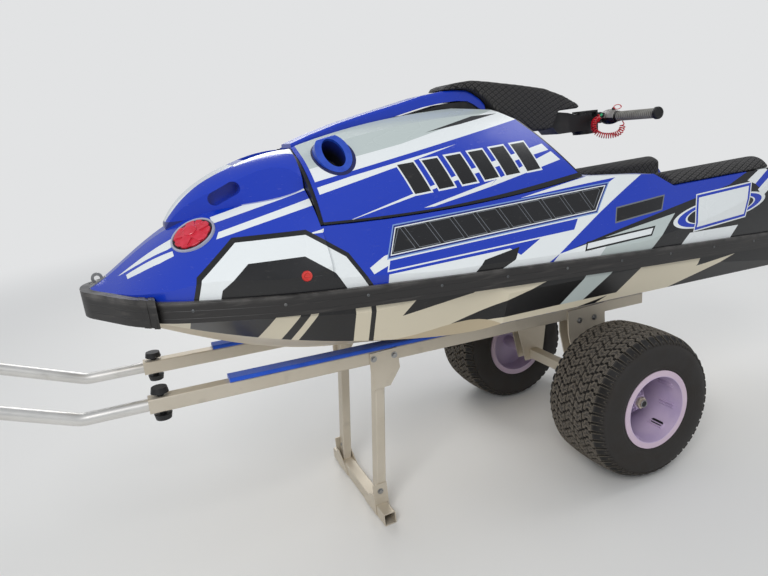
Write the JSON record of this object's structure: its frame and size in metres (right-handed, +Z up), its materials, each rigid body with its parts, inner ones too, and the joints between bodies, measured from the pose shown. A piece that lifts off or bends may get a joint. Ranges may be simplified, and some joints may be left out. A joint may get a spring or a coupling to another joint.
{
  "type": "personal watercraft",
  "caption": "Stand-up personal watercraft with a lifting handle pole and jet pump, parked on a beach trolley with balloon wheels, a prop stand and a bent tow handle.",
  "frame": {"origin": "on the ground, at the centre of the whole object's footprint", "axes": "+X towards the stern, +Y to starboard, +Z up; the bow and the tow handle point along -X"},
  "size_m": [2.642, 0.94, 1.219],
  "materials": {
    "deck_gelcoat": "gloss",
    "hull_gelcoat": "gloss",
    "hood_gelcoat": "gloss",
    "nose_gelcoat": "gloss",
    "rail_rubber": "satin",
    "vent_plastic": "gloss",
    "engine_metal": "matte",
    "cap_red": "gloss",
    "stainless": "satin",
    "mat_foam": "matte",
    "pad_foam": "matte",
    "pump_metal": "satin",
    "pole_paint": "satin",
    "pole_cover_paint": "gloss",
    "bar_metal": "satin",
    "grip_rubber": "matte",
    "switch_plastic": "matte",
    "cord_red": "gloss",
    "trolley_metal": "satin",
    "bunk_felt": "matte",
    "knob_plastic": "matte",
    "tyre": "matte",
    "rim_plastic": "satin"
  },
  "bodies": {
    "craft": {"hull_bottom": "hull_gelcoat", "deck": "deck_gelcoat", "bond_rail": "rail_rubber", "nose_bumper": "rail_rubber", "nose_cover": "nose_gelcoat", "hood": "hood_gelcoat", "hood_vents": "vent_plastic", "engine_block": "engine_metal", "fuel_cap": "cap_red", "bow_eye": "stainless", "tray_mat": "mat_foam", "gunwale_pad_port": "pad_foam", "gunwale_pad_starboard": "pad_foam", "ride_plate": "pump_metal", "intake_grate": "pump_metal", "pump_housing": "pump_metal", "pole_bracket": "stainless", "rail_port": "trolley_metal", "rail_starboard": "trolley_metal", "bunk_port": "bunk_felt", "bunk_starboard": "bunk_felt", "tow_handle": "trolley_metal", "clamp_knobs": "knob_plastic", "axle_beam": "trolley_metal", "axle_hangers": "trolley_metal", "stand_crossbar": "trolley_metal", "stand_posts": "trolley_metal", "stand_plates": "trolley_metal", "foot_brackets": "trolley_metal"},
    "pole": {"pole_arm": "pole_paint", "pole_cover": "pole_cover_paint", "chin_pad": "pad_foam"},
    "bars": {"steering_fork": "bar_metal", "handlebar": "bar_metal", "grips": "grip_rubber", "control_housings": "switch_plastic", "throttle_lever": "switch_plastic", "lanyard": "cord_red"},
    "impeller": {"impeller": "stainless"},
    "nozzle": {"steering_nozzle": "pump_metal"},
    "wheel_port": {"tyre_port": "tyre", "rim_port": "rim_plastic"},
    "wheel_starboard": {"tyre_starboard": "tyre", "rim_starboard": "rim_plastic"}
  },
  "joints": [
    {"name": "pole_lift", "type": "hinge", "parent": "craft", "child": "pole", "pos_m": [-0.446, 0, 1.034], "axis": [0, -1, 0], "range_deg": [0, 60]},
    {"name": "bar_steer", "type": "hinge", "parent": "pole", "child": "bars", "pos_m": [0.669, 0, 1.056], "axis": [0, 0, 1], "range_deg": [-35, 35]},
    {"name": "nozzle_steer", "type": "hinge", "parent": "craft", "child": "nozzle", "pos_m": [1.235, 0, 0.516], "axis": [0, 0, 1], "range_deg": [-22, 22]},
    {"name": "impeller_spin", "type": "hinge", "parent": "craft", "child": "impeller", "pos_m": [1.059, 0, 0.516], "axis": [1, 0, 0], "continuous": true},
    {"name": "wheel_port_spin", "type": "hinge", "parent": "craft", "child": "wheel_port", "pos_m": [0.519, -0.345, 0.2285], "axis": [0, 1, 0], "continuous": true},
    {"name": "wheel_starboard_spin", "type": "hinge", "parent": "craft", "child": "wheel_starboard", "pos_m": [0.519, 0.345, 0.2285], "axis": [0, 1, 0], "continuous": true}
  ],
  "couplings": [
    {"joint": "nozzle_steer", "follows": "bar_steer", "ratio": -0.6}
  ]
}
